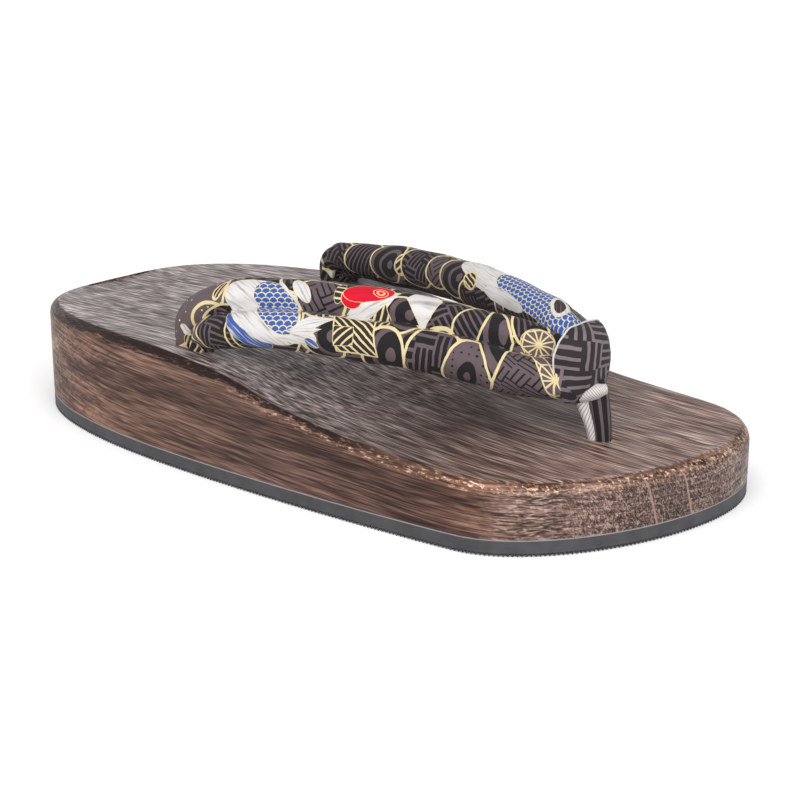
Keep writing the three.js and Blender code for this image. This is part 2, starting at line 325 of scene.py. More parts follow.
for spot, size, detail, roughness, distortion in (
    (grain_place, fibre_size, 1.5, 0.6, 0), (grain_place, raised_size, 1.5, 0.6, 0),
    (grain_place, streak_size, 2, 0.6, 0), (grain_place, band_size, 3, 0.6, 0),
    (grain_place, ripple_size, 1.5, 0.6, 1.4), (grain_place, crinkle_size, 1.5, 0.6, 1.2),
    (grain_place, layer_size, 1.5, 0.6, 0), (in_mm.outputs[0], glint_size, 3, 0.7, 0),
    (in_mm.outputs[0], lick_size, 3, 0.65, 0),
):
    stretched = add_node(tree, "VectorMath", {0: spot, 1: size}, operation="DIVIDE")
    grain = add_node(tree, "TexNoise", {"Vector": stretched.outputs[0], "Scale": 1, "Detail": detail,
                                        "Roughness": roughness, "Distortion": distortion})
    grains.append(grain.outputs["Fac"])
fibre, raised, streak, band, ripple, crinkle, layers, glint, lick = grains
wrinkles = add_node(tree, "Mix", {0: to_middle, 2: ripple, 3: crinkle}).outputs[0]
pore_place = add_node(tree, "VectorMath", {0: grain_place, 1: pore_size}, operation="DIVIDE")
pore = add_node(tree, "TexVoronoi", {"Vector": pore_place.outputs[0], "Scale": 1})
line_share = add_node(tree, "MapRange", {"Value": on_top, "To Min": wall_lines, "To Max": top_lines})
pore_dark = add_node(tree, "MapRange", {"Value": pore.outputs["Distance"], "From Min": 0.2,
                                        "From Max": 0.42, "To Min": line_share.outputs[0], "To Max": 0})
layer_gap = add_node(tree, "Math", {0: layers, 1: layer_step}, operation="PINGPONG")
layer_line = add_node(tree, "MapRange", {"Value": layer_gap.outputs[0], "From Min": 0.1 * layer_step,
                                         "From Max": 0.5 * layer_step, "To Min": 1, "To Max": 0})
line_depth = add_node(tree, "MapRange", {"Value": streak, "From Min": 0.6, "From Max": 0.42,
                                         "To Min": 0.15, "To Max": 0.8})
grain_dark = add_node(tree, "Math", {0: layer_line.outputs[0], 1: line_depth.outputs[0]},
                      operation="MULTIPLY")
grain_dark = add_node(tree, "Math", {0: grain_dark.outputs[0], 1: line_share.outputs[0]},
                      operation="MULTIPLY").outputs[0]
tones = []
for shares in ((fibre, 0.5, streak, 0.1, band, 0.4), (raised, 0.84, streak, 0.04, band, 0.12),
               (fibre, 0.2, wrinkles, 0.7, band, 0.1)):
    mixed = add_node(tree, "Math", {0: shares[0], 1: shares[1]}, operation="MULTIPLY")
    for value, share in (shares[2:4], shares[4:6]):
        mixed = add_node(tree, "Math", {0: value, 1: share, 2: mixed.outputs[0]}, operation="MULTIPLY_ADD")
    tones.append(mixed.outputs[0])
tone, top_tone, end_tone = tones
# Painted light in these tints: grey sheen on the top, glints, and light and shade along top and walls.
ramps = []
for value, stops in (
    (tone, ((0.36, "#24120c"), (0.46, "#432b21"), (0.54, "#644638"), (0.66, "#8e6956"))),
    (top_tone, ((0.34, "#231c1b"), (0.45, "#524846"), (0.55, "#8c807e"), (0.68, "#c9bebc"))),
    (top_tone, ((0.34, "#2c1710"), (0.45, "#5c3d31"), (0.55, "#8a685a"), (0.68, "#bfa091"))),
    (end_tone, ((0.41, "#291c16"), (0.48, "#58443a"), (0.54, "#7c6357"), (0.62, "#ab9080"))),
    (glint, ((0.56, "#9a6a4c"), (0.7, "#ecd3bb"))),
    (length_share, top_light_stops),
    (length_share, wall_tint_and_light_stops),
):
    ramp = add_node(tree, "ValToRGB", {"Fac": value})
    while len(ramp.color_ramp.elements) < len(stops):
        ramp.color_ramp.elements.new(0.5)
    for stop, (position, colour) in zip(ramp.color_ramp.elements, stops):
        stop.position = position
        stop.color = linear(colour) if isinstance(colour, str) else (*colour, 1)
    ramps.append(ramp.outputs[0])
side_tint, grain_and_sheen_tint, toe_tint, end_tint, glint_tint, top_light, wall_tint_and_light = ramps
# The top's painted grey sheen fades into the brown toe tint, and painted light and shade run along it.
top_mixed = add_node(tree, "Mix", {0: sheen_share, 6: toe_tint, 7: grain_and_sheen_tint}, data_type="RGBA")
lit_top = add_node(tree, "VectorMath", {0: top_mixed.outputs[2], 1: top_light}, operation="MULTIPLY")
brushed = add_node(tree, "Mix", {0: on_top, 6: side_tint, 7: lit_top.outputs[0]}, data_type="RGBA")
scorched = add_node(tree, "Mix", {0: pore_dark.outputs[0], 6: brushed.outputs[2], 7: linear("#1d0f09")},
                    data_type="RGBA")

# The ends of the board: wrinkles, and on the toe two growth rings with a darker stretch between.
upright = add_node(tree, "Math", {0: leaning.outputs[0], 1: toe_middle * ring_lean},
                   operation="SUBTRACT").outputs[0]
rings = []
for ring_place in ring_lines:
    rings.append(add_node(tree, "Math", {0: upright, 1: ring_place, 2: ring_line_width},
                          operation="COMPARE").outputs[0])
ring = add_node(tree, "Math", {0: rings[0], 1: rings[1]}, operation="MAXIMUM")
between = add_node(tree, "Math", {0: upright, 1: sum(ring_lines) / 2,
                                  2: (ring_lines[1] - ring_lines[0]) / 2}, operation="COMPARE")
on_toe = add_node(tree, "Math", {0: in_mm_parts.outputs["X"], 1: 0}, operation="GREATER_THAN")
toe_ring = add_node(tree, "Math", {0: ring.outputs[0], 1: on_toe.outputs[0]}, operation="MULTIPLY")
toe_panel = add_node(tree, "Math", {0: between.outputs[0], 1: on_toe.outputs[0]}, operation="MULTIPLY")
panel_shade = add_node(tree, "MapRange", {"Value": toe_panel.outputs[0], "To Min": 1, "To Max": 0.75})
end_shaded = add_node(tree, "VectorMath", {0: end_tint, "Scale": panel_shade.outputs[0]},
                      operation="SCALE")
end_ringed = add_node(tree, "Mix", {0: toe_ring.outputs[0], 6: end_shaded.outputs[0],
                                    7: linear("#9c7c6b")}, data_type="RGBA")
whole_wood = add_node(tree, "Mix", {0: on_end, 6: scorched.outputs[2], 7: end_ringed.outputs[2]},
                      data_type="RGBA")
# The walls' tint along the board, with painted light at the toe's corner.
off_top = add_node(tree, "Mix", {0: on_top, 6: wall_tint_and_light, 7: linear("#ffffff")}, data_type="RGBA")
shaded_wood = add_node(tree, "VectorMath", {0: whole_wood.outputs[2], 1: off_top.outputs[2]},
                       operation="MULTIPLY")
lined_wood = add_node(tree, "Mix", {0: grain_dark, 6: shaded_wood.outputs[0], 7: linear("#23110b")},
                      data_type="RGBA")

# The rounded top edge: a burnt line where the top begins to turn, from the heel to the ball, widest
# from the heel up to the straps' rear ends, where it is partly painted shade of them; and painted
# highlights below it, glints of the lacquer, from the middle to the toe.
# The burnt line widens from the heel up to the straps' rear ends, partly as painted shade of them.
ragged = add_node(tree, "Math", {0: lick, 1: burn_and_shade_reach, 2: upwards}, operation="MULTIPLY_ADD")
line_in = add_node(tree, "MapRange", {"Value": ragged.outputs[0], "From Min": 1.05, "From Max": 1.15},
                   interpolation_type="SMOOTHSTEP")
burn_and_shade_line = add_node(tree, "Math", {0: line_in.outputs[0], 1: line_out}, operation="SUBTRACT")
line_patches = add_node(tree, "MapRange", {"Value": glint, "From Min": 0.66, "From Max": 0.54, "To Min": 0.6,
                                   "To Max": 0.97})
# Painted highlights: glints of the lacquer in a band on the rounded edge.
glint_band = add_node(tree, "Math", {0: glint_band_in, 1: glint_band_out}, operation="SUBTRACT")
glint_share = add_node(tree, "MapRange", {"Value": glint, "From Min": 0.5, "From Max": 0.6,
                                          "To Max": 0.85})
off_end = add_node(tree, "Math", {0: on_end, 1: -0.2, 2: glint_run}, operation="MULTIPLY_ADD",
                   use_clamp=True)
edge_shares = []
for along_edge, patches, stretch in (
    (burn_and_shade_line.outputs[0], line_patches.outputs[0], to_ball),
    (glint_band.outputs[0], glint_share.outputs[0], off_end.outputs[0]),
):
    patchy = add_node(tree, "Math", {0: along_edge, 1: patches}, operation="MULTIPLY")
    ending = add_node(tree, "Math", {0: patchy.outputs[0], 1: stretch}, operation="MULTIPLY")
    edge_shares.append(ending.outputs[0])
burn_and_shade_share, painted_glint_share = edge_shares
glinting_edge = add_node(tree, "Mix", {0: painted_glint_share, 6: lined_wood.outputs[2], 7: glint_tint},
                     data_type="RGBA")
edged_wood = add_node(tree, "Mix", {0: burn_and_shade_share, 6: glinting_edge.outputs[2], 7: linear("#190a06")},
                      data_type="RGBA")
gloss = add_node(tree, "MapRange", {"Value": tone, "From Min": 0.42, "From Max": 0.6, "To Min": 0.55,
                                    "To Max": 0.33})
height = add_node(tree, "Mix", {0: on_top, 2: tone, 3: top_tone})
for groove, depth in ((pore_dark.outputs[0], 0.4), (grain_dark, 0.5)):
    height = add_node(tree, "Math", {0: groove, 1: -depth, 2: height.outputs[0]}, operation="MULTIPLY_ADD")
bump = add_node(tree, "Bump", {"Height": height.outputs[0], "Strength": 0.7, "Distance": 0.4 * mm})
set_inputs(shader, {"Base Color": edged_wood.outputs[2], "Roughness": gloss.outputs[0],
                    "Normal": bump.outputs[0], "IOR": 1.5, "Specular IOR Level": 0.18, "Coat Weight": 0.06,
                    "Coat Roughness": 0.25})
finish_piece(board, "board", "wood_base", paulownia)


# Straps
# Two padded tubes of printed crepe, each folded and sewn along its middle into a pair of rolls.
# They come up out of the rear holes, lie over the foot and meet at the toe.

# Each row is a section of the crease between the rolls: place, roll radius, spread between the
# rolls' middles, and how far the upper roll leans inwards, in degrees.
outer_rows = [
    (-33, -46.5, 14, 3.2, 4, 5),
    (-33, -46.5, 30, 3.4, 4.4, 5),
    (-33.5, -46.5, 39.5, 4.2, 6, 5),
    (-30.5, -46, 45.6, 5.4, 8, 10),
    (-21, -44, 50, 6.2, 9.2, 28),
    (-2, -39, 52.6, 6.7, 10.4, 35),
    (25, -29, 52, 7, 10.8, 35),
    (50, -18.5, 49.2, 7, 10.8, 32),
    (70, -9, 45, 6.8, 10.4, 28),
    (79, -4, 42.8, 6.1, 8.8, 22),
    (83.6, -0.4, 43.6, 4.4, 6.2, 18),
    (87.5, 1.6, 43.8, 2.8, 4, 15),
]
inner_rows = [
    (-54, 46.5, 14, 3.2, 4, 15),
    (-54, 46.5, 30, 3.4, 4.4, 15),
    (-54.5, 46.5, 39, 4, 5, 25),
    (-51.8, 46.5, 45, 4.7, 6, 50),
    (-42, 46, 47.2, 5.4, 7.6, 62),
    (-18, 43.5, 48.8, 6.3, 9.6, 62),
    (10, 37.5, 49.8, 6.8, 10.6, 55),
    (42, 26.5, 49.8, 7, 10.8, 46),
    (66, 16, 48.6, 6.8, 10.4, 36),
    (76, 9.6, 47.3, 6, 8.8, 28),
    (81.5, 5.6, 46.4, 4.2, 6.2, 20),
    (86, 3.6, 45.4, 3, 4, 15),
]
mouth_row = 2
far_chart = 200
roll_steps = 190
roll_sides = 40
crease_turn = math.radians(40)
seam_turn = math.radians(46)
pinch_depth = 0.9
pinch_turn = math.radians(17)
mouth_gather = 0.7
mouth_run = 7
toe_gather = 0.6
toe_run = 11
dent_depths = (0.22, 0.16)
dent_lengths = (7.5, 3.6)
smooth_run = 12
phase_step = 1.3


def through_rows(rows, shares):
    """Smooth values through the rows of a table, from its first row at 0 to its last at 1."""
    rows = np.array(rows, dtype=float)
    last = len(rows) - 1
    padded = np.vstack([2 * rows[0] - rows[1], rows, 2 * rows[-1] - rows[-2]])
    spot = np.asarray(shares) * last
    index = np.clip(np.floor(spot).astype(int), 0, last - 1)
    t = (spot - index)[..., None]
    a, b, c, d = (padded[index + k] for k in range(4))
    return 0.5 * (2 * b + (c - a) * t + (2 * a - 5 * b + 4 * c - d) * t ** 2
                  + (3 * b - a - 3 * c + d) * t ** 3)


def unit(vectors):
    """Vectors at length one."""
    return vectors / np.linalg.norm(vectors, axis=-1, keepdims=True)


def along_rows(rows, shares):
    """Directions along the rows of a table."""
    step = 1e-4
    ahead = through_rows(rows, np.minimum(shares + step, 1))[:, :3]
    return unit(ahead - through_rows(rows, np.maximum(shares - step, 0))[:, :3])


def cloth_tube(steps, sides, place_of, chart_of):
    """A closed tube bent from a flat grid: place_of gives the points, chart_of the cloth chart."""
    bpy.ops.object.select_all(action="DESELECT")
    bpy.ops.mesh.primitive_grid_add(x_subdivisions=steps, y_subdivisions=sides, size=1)
    tube = bpy.context.object
    shares = mesh_places(tube)[:, :2] + 0.5
    corner_of_loop = np.empty(len(tube.data.loops), dtype=int)
    tube.data.loops.foreach_get("vertex_index", corner_of_loop)
    chart = chart_of(shares[:, 0], shares[:, 1])[corner_of_loop] * mm
    tube.data.uv_layers[0].name = "cloth"
    tube.data.uv_layers[0].data.foreach_set("uv", chart.ravel())
    set_mesh_places(tube, place_of(shares[:, 0], shares[:, 1]) * mm)
    bpy.ops.object.mode_set(mode="EDIT")
    bpy.ops.mesh.select_all(action="SELECT")
    bpy.ops.mesh.remove_doubles(threshold=0.001 * mm)
    bpy.ops.mesh.fill_holes(sides=0)
    bpy.ops.mesh.select_all(action="SELECT")
    bpy.ops.mesh.normals_make_consistent(inside=False)
    bpy.ops.object.mode_set(mode="OBJECT")
    bpy.ops.object.shade_smooth()
    return tube


def join_parts(parts):
    """Joins meshes into the first of them."""
    bpy.ops.object.select_all(action="DESELECT")
    for part in parts:
        part.select_set(True)
    bpy.context.view_layer.objects.active = parts[0]
    bpy.ops.object.join()
    return bpy.context.object


def roll_length(rows, shares):
    """Length along a strap from the mouth of its hole."""
    fine = np.linspace(0, 1, 2000)
    points = through_rows(rows, fine)[:, :3]
    lengths = np.append(0, np.cumsum(np.linalg.norm(np.diff(points, axis=0), axis=1)))
    mouth = np.interp(mouth_row / (len(rows) - 1), fine, lengths)
    return np.interp(shares, fine, lengths) - mouth


def strap_roll(rows, inwards, upper, phase, chart_start):
    """One roll of a strap, with the gathers at its ends and the soft dents of its filling."""
    whole = roll_length(rows, np.array([1.0]))[0]

    def turn_at(around):
        return -crease_turn + around * 2 * math.pi

    def place_of(along, around):
        values = through_rows(rows, along)
        tangent = along_rows(rows, along)
        lean = np.radians(values[:, 5])
        out = np.column_stack([-np.ones_like(lean), inwards * np.sin(lean), np.cos(lean)])
        out = unit(out - tangent * np.sum(out * tangent, axis=1)[:, None])
        outer_side = np.cross(tangent, out) * inwards
        turn = turn_at(around)
        length = roll_length(rows, along)
        gathers = mouth_gather * np.exp(-((length - 1) / mouth_run) ** 2) * np.cos(7 * turn + phase)
        gathers += toe_gather * np.exp(-((whole - length) / toe_run) ** 2) * np.cos(6 * turn + 2 * phase)
        from_seam = np.abs((turn + math.pi) % (2 * math.pi) - math.pi) - seam_turn
        pinch = pinch_depth * np.exp(-(from_seam / pinch_turn) ** 2)
        dents = dent_depths[0] * np.sin(length / dent_lengths[0] + 2 * np.cos(turn) + phase)
        dents += dent_depths[1] * np.sin(length / dent_lengths[1] + 3 * np.sin(turn) + 2.3 * phase)
        radius = values[:, 3] + gathers - pinch + dents * np.clip(length / smooth_run, 0, 1)
        middle = values[:, :3] + out * (upper * values[:, 4] / 2)[:, None]
        spoke = -upper * out * np.cos(turn)[:, None] + outer_side * np.sin(turn)[:, None]
        return middle + spoke * radius[:, None]

    def chart_of(along, around):
        radius = through_rows(rows, along)[:, 3]
        across = upper * (turn_at(around) - crease_turn) * radius
        return np.column_stack([chart_start + roll_length(rows, along), across])

    return cloth_tube(roll_steps, roll_sides, place_of, chart_of)


rolls = []
for rows, inwards, chart_start in ((outer_rows, 1, 0), (inner_rows, -1, far_chart)):
    for upper in (1, -1):
        rolls.append(strap_roll(rows, inwards, upper, phase_step * len(rolls), chart_start))
straps = join_parts(rolls)

# Printed cotton crepe: a patchwork of old fabric patterns in overlapping gold-edged rounds. Black
# bars, frets, swirls and dots lie on taupe, with gold stars and stripes, and white, blue scale and
# red figures among them. The crepe is dull, with a pebble drawn coarser than its real size.
# Unseen stretches repeat two lattices of rounds. The rounds that show are listed one by one: motif,
# millimetres along the strap from the mouth of its hole and across it from the outer crease, half
# length, half width, and turn in degrees. Pointed ones have straight sides. Later ones lie on top.
motifs = ["bars", "rails", "swirl", "fret", "dots", "gold_dots", "loop_bars", "stripes",
          "star", "gold_lines", "plain", "white", "hatched", "scales", "blue", "red", "peach"]
lattice_motifs = 5
lattice_cell = (24, 17, 1)
lattice_radius = 13
wobble_size = 6
wobble_reach = 1.2
pebble_size = 0.9
round_rim = 0.8
figure_rim = 0.25
loop_chart = 420
hem_chart = 60
front_chart = 100
hatch_chart = 200
outer_chart = [
    ("gold_dots", 9, 8, 12, 12, 0), ("gold_lines", 0, -3, 5, 3.5, 70), ("white", 3.6, 1.6, 2.6, 1.1, 75),
    ("gold_dots", 14, -8, 9, 13, 12), ("bars", 19.5, -8, 10, 12, 60), ("stripes", 18.5, 7, 3.6, 1.6, 60),
    ("rails", 34, -10, 14, 12.7, 80), ("rails", 36.6, -10, 14, 12.7, 85),
    ("bars", 45, 13, 9, 9, 20), ("fret", 51.5, 4, 8, 10, 30), ("swirl", 56.5, -12, 7.5, 9, 0),
    ("gold_lines", 54.5, -3.6, 2.6, 0.9, 20),
    ("blue", 30, -9.5, 11, 5, -48), ("white", 34.5, -2.5, 17, 9, -42), ("white", 46, -11, 8, 3.6, -10),
    ("blue", 52, -13.6, 2.6, 1.6, -30), ("white", 41.8, 1.6, 10, 2.6, -58, "pointed"),
    ("scales", 38.4, -1.3, 12.2, 5.9, -54), ("white", 51.5, -7.2, 8, 2.4, 20, "pointed"),
    ("white", 49.5, -9.8, 6, 1.6, 8, "pointed"), ("white", 44.8, 6.2, 5.4, 2.2, -52),
    ("bars", 93.5, 2.5, 10, 10.5, 35), ("swirl", 77.5, 1, 7, 8, 0),
    ("white", 83.2, 8.6, 5.4, 11.1, 8, "pointed"),
    ("gold_lines", 57.2, 6.5, 4, 1.7, 85), ("white", 67.5, 3.6, 10.5, 6, 40, "pointed"),
    ("red", 61.4, 4.8, 3.6, 3.4, 0), ("red", 66, 7.8, 8, 3.6, 14), ("peach", 69.6, 8.3, 2.4, 1.9, 0),
    ("gold_lines", 71.2, -2.6, 4.3, 7.6, -8, "pointed"),
    ("rails", 103.5, 5, 12, 8, 40), ("bars", 115.5, 9, 6, 9, 20),
    ("star", 119.6, 3.2, 5.4, 5.4, 0), ("star", 126.8, -8.3, 10, 10, 0),
    ("fret", 113.5, -12, 17, 12, -23, "pointed"), ("bars", 90.6, -15, 9, 16, 0),
    ("dots", 102, -16, 8.2, 13.5, 0), ("swirl", 107, 0, 6, 16.3, 10, "pointed"),
    ("swirl", 75.4, -16, 7, 12, 0), ("stripes", 65.5, -8.8, 10.8, 8.2, -40, "pointed"),
    ("gold_lines", 62.2, -10, 4.6, 4.4, -40, "pointed"),
]
inner_chart = [
    ("white", 5, 19, 4, 4, 0), ("bars", 12, 16, 9, 9, 40), ("rails", 26, 16, 10, 10, 30),
    ("swirl", 40, 16, 9.5, 9.5, 0), ("stripes", 49, 17, 4, 4, -30), ("bars", 59, 15, 10.5, 10.5, 15),
    ("fret", 71, 16, 8, 8, 50), ("swirl", 81, 16, 9.5, 9.5, 0), ("bars", 96, 24, 12, 12, -20),
    ("white", 97, 13, 19, 5.5, 10), ("stripes", 90, 17, 4.5, 3, 20), ("white", 82, 8, 5, 2.5, 30),
    ("scales", 123, 12.5, 22, 7, 3), ("scales", 145, 12, 8, 8, 0), ("white", 112, 19, 12, 2.5, 4),
    ("white", 136, 10, 6, 3.2, 15), ("plain", 136, 10, 4.6, 2, 15),
]
loop_rounds = [
    ("loop_bars", 0, 0, 38, 38, 84), ("white", hem_chart, 0, 14, 14, 90),
    ("rails", front_chart, 0, 14, 14, 0), ("hatched", hatch_chart, 0, 42, 7, 20),
]
crepe, tree, shader = start_material("printed_cotton_crepe")
chart = add_node(tree, "UVMap", uv_map="cloth")
in_mm = add_node(tree, "VectorMath", {0: chart.outputs[0], "Scale": 1 / mm}, operation="SCALE")
wobble = add_node(tree, "TexNoise", {"Vector": in_mm.outputs[0], "Scale": 1 / wobble_size, "Detail": 2})
wobble_mm = add_node(tree, "VectorMath", {0: wobble.outputs["Color"], 1: (wobble_reach, wobble_reach, 0)},
                     operation="MULTIPLY")
cloth = add_node(tree, "VectorMath", {0: in_mm.outputs[0], 1: wobble_mm.outputs[0]}, operation="ADD")
cloth = add_node(tree, "VectorMath", {0: cloth.outputs[0], 1: (wobble_reach / 2, wobble_reach / 2, 0)},
                 operation="SUBTRACT").outputs[0]

# Each patch is a place in its round, where the rim is 1. Its third number is its motif's, with the
# half length in hundredths as the fraction.
patch_of = None
away_of = None
for share in (0, 0.5):
    start = tuple(-edge * (0.5 - share) for edge in lattice_cell[:2]) + (0,)
    moved = add_node(tree, "VectorMath", {0: cloth, 1: start}, operation="SUBTRACT")
    corner = add_node(tree, "VectorMath", {0: moved.outputs[0], 1: lattice_cell}, operation="SNAP")
    to_middle = tuple(edge * share for edge in lattice_cell[:2]) + (0,)
    middle = add_node(tree, "VectorMath", {0: corner.outputs[0], 1: to_middle}, operation="ADD")
    chance = add_node(tree, "TexWhiteNoise", {"Vector": middle.outputs[0]})
    drawn = add_node(tree, "Math", {0: chance.outputs["Value"], 1: lattice_motifs}, operation="MULTIPLY")
    number = add_node(tree, "Math", {0: drawn.outputs[0]}, operation="FLOOR")
    code = add_node(tree, "Math", {0: number.outputs[0], 1: lattice_radius / 100}, operation="ADD")
    offset = add_node(tree, "VectorMath", {0: cloth, 1: middle.outputs[0]}, operation="SUBTRACT")
    offset_share = add_node(tree, "VectorMath", {0: offset.outputs[0], "Scale": 1 / lattice_radius},
                            operation="SCALE")
    spun = add_node(tree, "VectorRotate", {"Vector": offset_share.outputs[0], "Angle": number.outputs[0]},
                    rotation_type="Z_AXIS")
    parts = add_node(tree, "SeparateXYZ", {0: spun.outputs[0]})
    patch = add_node(tree, "CombineXYZ", {0: parts.outputs["X"], 1: parts.outputs["Y"],
                                          2: code.outputs[0]}).outputs[0]
    away = add_node(tree, "VectorMath", {0: offset_share.outputs[0]}, operation="LENGTH").outputs["Value"]
    if patch_of is None:
        patch_of = patch
        away_of = away
        continue
    inside = add_node(tree, "Math", {0: away, 1: 1}, operation="LESS_THAN")
    patch_of = add_node(tree, "Mix", {0: inside.outputs[0], 4: patch_of, 5: patch},
                        data_type="VECTOR").outputs[1]
    away_of = add_node(tree, "Mix", {0: inside.outputs[0], 2: away_of, 3: away}).outputs[0]
for rounds, chart_start in ((outer_chart, 0), (inner_chart, far_chart), (loop_rounds, loop_chart)):
    for motif, length, across, half_length, half_width, turn, *pointed in rounds:
        code = motifs.index(motif) + half_length / 100
        patch = add_node(tree, "Mapping", {
            "Vector": cloth, "Location": (chart_start + length, across, -code),
            "Rotation": (0, 0, math.radians(turn)), "Scale": (half_length, half_width, 1),
        }, vector_type="TEXTURE").outputs[0]
        away = add_node(tree, "VectorMath", {0: patch, 1: (0, 0, code)}, operation="DISTANCE")
        if pointed:
            sizes = add_node(tree, "VectorMath", {0: patch}, operation="ABSOLUTE")
            away = add_node(tree, "VectorMath", {0: sizes.outputs[0], 1: (1, 1, 0)},
                            operation="DOT_PRODUCT")
        away = away.outputs["Value"]
        inside = add_node(tree, "Math", {0: away, 1: 1}, operation="LESS_THAN")
        patch_of = add_node(tree, "Mix", {0: inside.outputs[0], 4: patch_of, 5: patch},
                            data_type="VECTOR").outputs[1]
        away_of = add_node(tree, "Mix", {0: inside.outputs[0], 2: away_of, 3: away}).outputs[0]

patch_parts = add_node(tree, "SeparateXYZ", {0: patch_of})
motif_number = add_node(tree, "Math", {0: patch_parts.outputs["Z"]}, operation="FLOOR").outputs[0]
radius_share = add_node(tree, "Math", {0: patch_parts.outputs["Z"]}, operation="FRACT")
patch_radius = add_node(tree, "Math", {0: radius_share.outputs[0], 1: 100},
                        operation="MULTIPLY").outputs[0]
flat = add_node(tree, "VectorMath", {0: patch_of, 1: (1, 1, 0)}, operation="MULTIPLY")
local = add_node(tree, "VectorMath", {0: flat.outputs[0], "Scale": patch_radius}, operation="SCALE")
reach = add_node(tree, "VectorMath", {0: local.outputs[0]}, operation="LENGTH").outputs["Value"]
local_parts = add_node(tree, "SeparateXYZ", {0: local.outputs[0]})

# Bars and rails: groups of black bars that change direction, as in a woven fence, or run on.
# Frets are the same with thin lines. Each column of groups lies half a group beside the last.
bar_pitch = 2
bar_gap = 0.36
line_gap = 0.7
group_size = 3 * bar_pitch
column_share = add_node(tree, "Math", {0: local_parts.outputs["X"], 1: 1 / group_size},
                        operation="MULTIPLY")
column = add_node(tree, "Math", {0: column_share.outputs[0]}, operation="FLOOR")
shifted = add_node(tree, "Math", {0: column.outputs[0], 1: group_size / 2, 2: local_parts.outputs["Y"]},
                   operation="MULTIPLY_ADD")
row_share = add_node(tree, "Math", {0: shifted.outputs[0], 1: 1 / group_size}, operation="MULTIPLY")
row = add_node(tree, "Math", {0: row_share.outputs[0]}, operation="FLOOR")
group_number = add_node(tree, "Math", {0: column.outputs[0], 1: row.outputs[0]}, operation="ADD")
groups = add_node(tree, "Math", {0: group_number.outputs[0], 1: 1}, operation="PINGPONG").outputs[0]
bar_of = []
line_of = []
for across_bars in (local_parts.outputs["X"], shifted.outputs[0]):
    share = add_node(tree, "Math", {0: across_bars, 1: 1 / bar_pitch}, operation="MULTIPLY")
    part = add_node(tree, "Math", {0: share.outputs[0]}, operation="FRACT")
    for gap, marks in ((bar_gap, bar_of), (line_gap, line_of)):
        mark = add_node(tree, "Math", {0: part.outputs[0], 1: gap}, operation="GREATER_THAN")
        marks.append(mark.outputs[0])
bars = add_node(tree, "Mix", {0: groups, 2: bar_of[0], 3: bar_of[1]}).outputs[0]
fret = add_node(tree, "Mix", {0: groups, 2: line_of[0], 3: line_of[1]}).outputs[0]

# Stars: twelve gold rays of even width, with a hexagon across them.
ray_width = 0.5
hexagon_reach = 4.6
spin = add_node(tree, "Math", {0: local_parts.outputs["Y"], 1: local_parts.outputs["X"]},
                operation="ARCTAN2")
ray_share = add_node(tree, "Math", {0: spin.outputs[0], 1: math.pi / 12}, operation="PINGPONG")
ray_gap = add_node(tree, "Math", {0: ray_share.outputs[0], 1: reach}, operation="MULTIPLY")
ray = add_node(tree, "Math", {0: ray_gap.outputs[0], 1: ray_width / 2}, operation="LESS_THAN")
side_share = add_node(tree, "Math", {0: spin.outputs[0], 1: math.pi / 6}, operation="PINGPONG")
side_turn = add_node(tree, "Math", {0: side_share.outputs[0]}, operation="COSINE")
side_reach = add_node(tree, "Math", {0: side_turn.outputs[0], 1: reach}, operation="MULTIPLY")
side_line = add_node(tree, "Math", {0: side_reach.outputs[0], 1: hexagon_reach, 2: ray_width / 2},
                     operation="COMPARE")
star = add_node(tree, "Math", {0: ray.outputs[0], 1: side_line.outputs[0]}, operation="MAXIMUM").outputs[0]

# Swirls: broad black rings round a point beside the middle. The peach round has finer ones.
swirl_middle = (2.4, 1.2, 0)
aside = add_node(tree, "VectorMath", {0: local.outputs[0], 1: swirl_middle}, operation="DISTANCE")
rings_of = []
for distance, pitch, share in ((aside.outputs["Value"], 4.6, 0.34), (reach, 1.5, 0.5)):
    ring_share = add_node(tree, "Math", {0: distance, 1: 1 / pitch}, operation="MULTIPLY")
    ring_part = add_node(tree, "Math", {0: ring_share.outputs[0]}, operation="FRACT")
    rings_of.append(add_node(tree, "Math", {0: ring_part.outputs[0], 1: share},
                             operation="GREATER_THAN").outputs[0])
swirl, peach_rings = rings_of

# Dots: small dots round a dark ring, or small gold dots alone.
dot_pitch = 2.3
dot_share = 0.2
gold_dot_share = 0.13
dark_ring = (2.2, 1)
dot_cells = add_node(tree, "TexVoronoi", {"Vector": cloth, "Scale": 1 / dot_pitch, "Randomness": 0.3})
dot = add_node(tree, "Math", {0: dot_cells.outputs["Distance"], 1: dot_share}, operation="LESS_THAN")
flower = add_node(tree, "Math", {0: reach, 1: dark_ring[0], 2: dark_ring[1]}, operation="COMPARE")
gold_dots = add_node(tree, "Math", {0: dot_cells.outputs["Distance"], 1: gold_dot_share},
                     operation="LESS_THAN").outputs[0]
dots = add_node(tree, "Math", {0: dot.outputs[0], 1: flower.outputs[0]}, operation="MAXIMUM").outputs[0]

# Stripes: gold bands on the dark ground. Finer grey ones hatch the white cloth of the toe loop.
stripe_pitch = 2.4
stripe_width = 0.34
band_share = add_node(tree, "Math", {0: local_parts.outputs["Y"], 1: 1 / stripe_pitch},
                      operation="MULTIPLY")
band_part = add_node(tree, "Math", {0: band_share.outputs[0]}, operation="FRACT")
stripes = add_node(tree, "Math", {0: band_part.outputs[0], 1: stripe_width},
                   operation="LESS_THAN").outputs[0]

